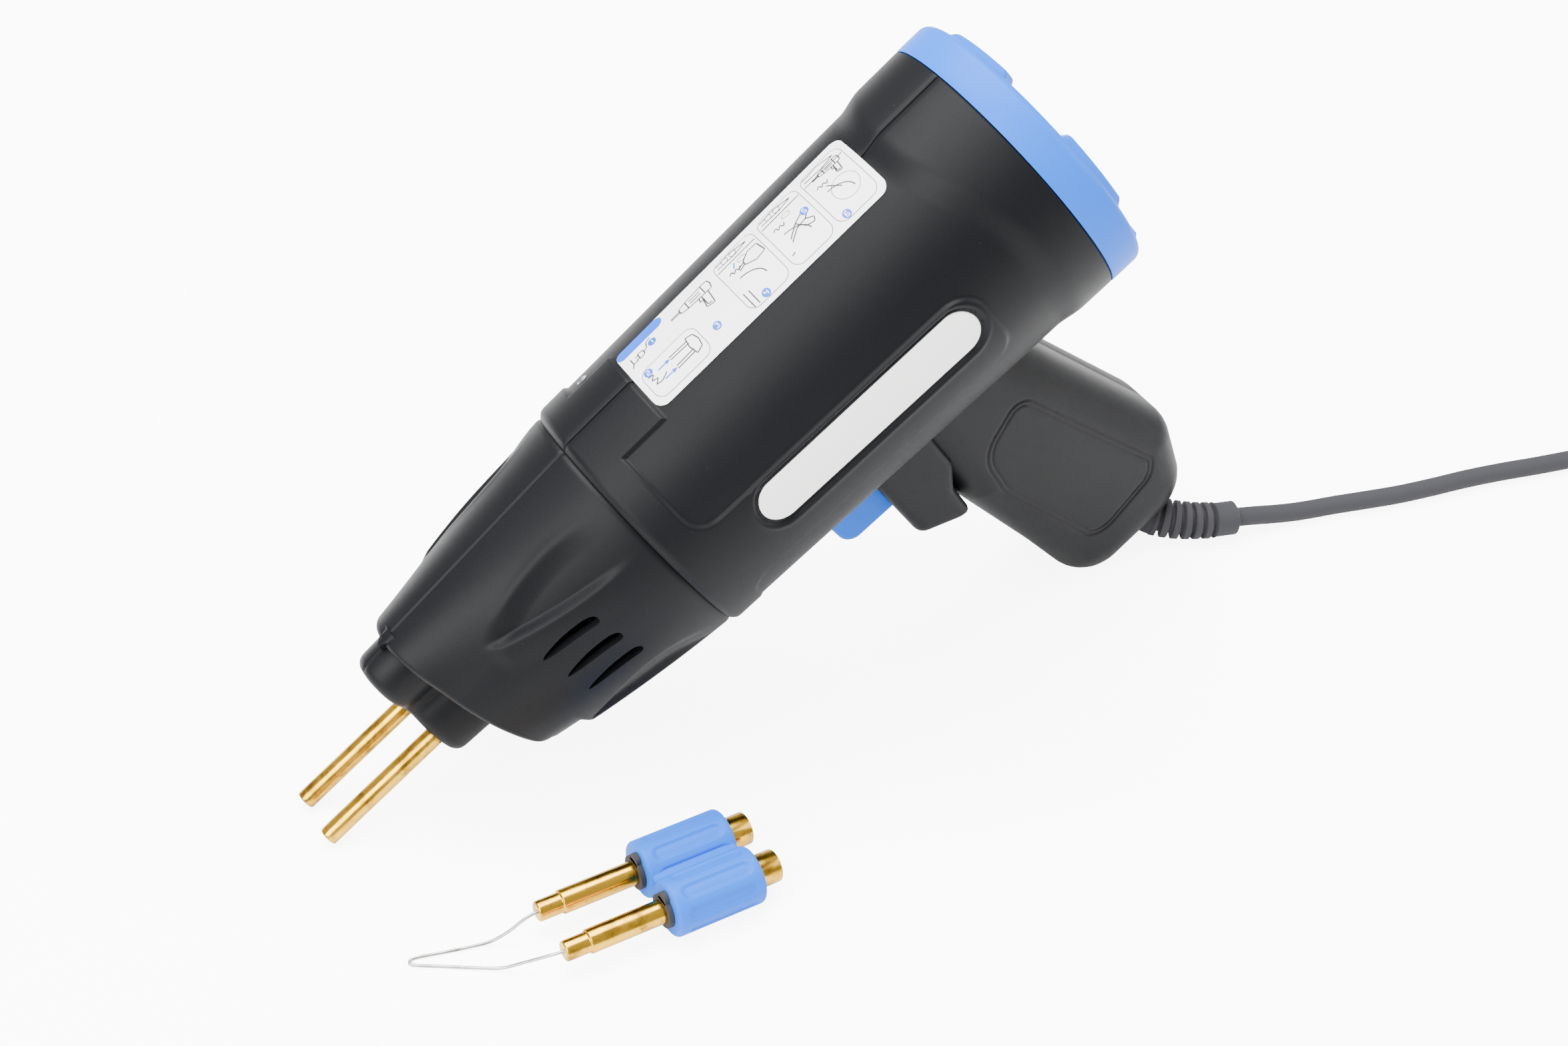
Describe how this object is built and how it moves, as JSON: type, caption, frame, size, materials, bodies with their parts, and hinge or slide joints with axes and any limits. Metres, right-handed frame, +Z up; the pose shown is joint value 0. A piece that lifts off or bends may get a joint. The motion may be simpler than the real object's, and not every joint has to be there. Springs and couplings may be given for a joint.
{
  "type": "pistol-grip hot stapler for plastic repair",
  "caption": "Pistol-grip transformer hot stapler standing nose down on brass rods and grip toe, with trigger, mains cord, coil and plug, and a loose smoothing tip beside it.",
  "frame": {"origin": "middle of the footprint on the table, measured without the mains cord, its coil, its tie and its plug", "axes": "+Z up from the table; +X level, from the rod tips towards the rear cap; +Y from the tool's left side to its right side; the barrel runs in the X-Z plane, pitched 35 degrees with its front end down"},
  "size_m": [0.6319, 0.1419, 0.2082],
  "materials": {
    "housing": "fine spark texture",
    "blue_plastic": "satin moulded plastic",
    "label_white": "printed film",
    "steel_part": "plain steel",
    "brass_part": "machined, heat stained",
    "copper_part": "plain copper",
    "lamination": "oxidised laminations",
    "nylon": "natural nylon",
    "ceramic": "heat resistant moulding",
    "enamel_wire": "enamelled wire",
    "board": "circuit board",
    "clear": "clear lens",
    "dark_part": "black moulding",
    "lead_wire": "insulated wire",
    "cord_rubber": "matte rubber"
  },
  "bodies": {
    "gun": {"housing_left": "housing", "housing_right": "housing", "nose_left": "housing", "nose_right": "housing", "snout_left": "housing", "snout_right": "housing", "rear_cap": "blue_plastic", "plate_left": "label_white", "plate_right": "label_white", "instruction_label": "label_white", "housing_screws": "steel_part", "rod_left": "brass_part", "rod_right": "brass_part", "rod_insulator": "ceramic", "rod_clamps": "brass_part", "clamp_screws": "steel_part", "bus_bar_left": "copper_part", "bus_bar_right": "copper_part", "core": "lamination", "core_frame": "steel_part", "core_bolts": "steel_part", "bobbin": "nylon", "primary_winding": "enamel_wire", "secondary_winding": "copper_part", "thermal_cutout": "steel_part", "work_light": "ceramic", "light_board": "board", "light_lens": "clear", "switch_body": "dark_part", "trigger_spring": "steel_part", "terminal_block": "ceramic", "internal_leads": "lead_wire", "cord_clamp": "dark_part", "clamp_bridge_screws": "steel_part", "strain_relief": "cord_rubber", "power_cord": "cord_rubber", "cord_coil": "cord_rubber", "coil_tie": "dark_part", "plug_body": "cord_rubber", "plug_pins": "steel_part"},
    "trigger": {"trigger": "blue_plastic", "switch_plunger": "nylon"},
    "smoothing_tip": {"tip_block": "blue_plastic", "tip_sockets": "brass_part", "tip_tubes": "brass_part", "tip_clips": "dark_part", "tip_wire": "steel_part"}
  },
  "joints": [
    {"name": "trigger_pull", "type": "slide", "parent": "gun", "child": "trigger", "axis": [0.8192, 0, 0.5736], "range_m": [0, 0.006], "stiffness_N_per_m": 900, "springref_m": -0.004},
    {"name": "tip_lift", "type": "slide", "parent": "gun", "child": "smoothing_tip", "axis": [0, 0, 1], "range_m": [0, 0.03]}
  ]
}
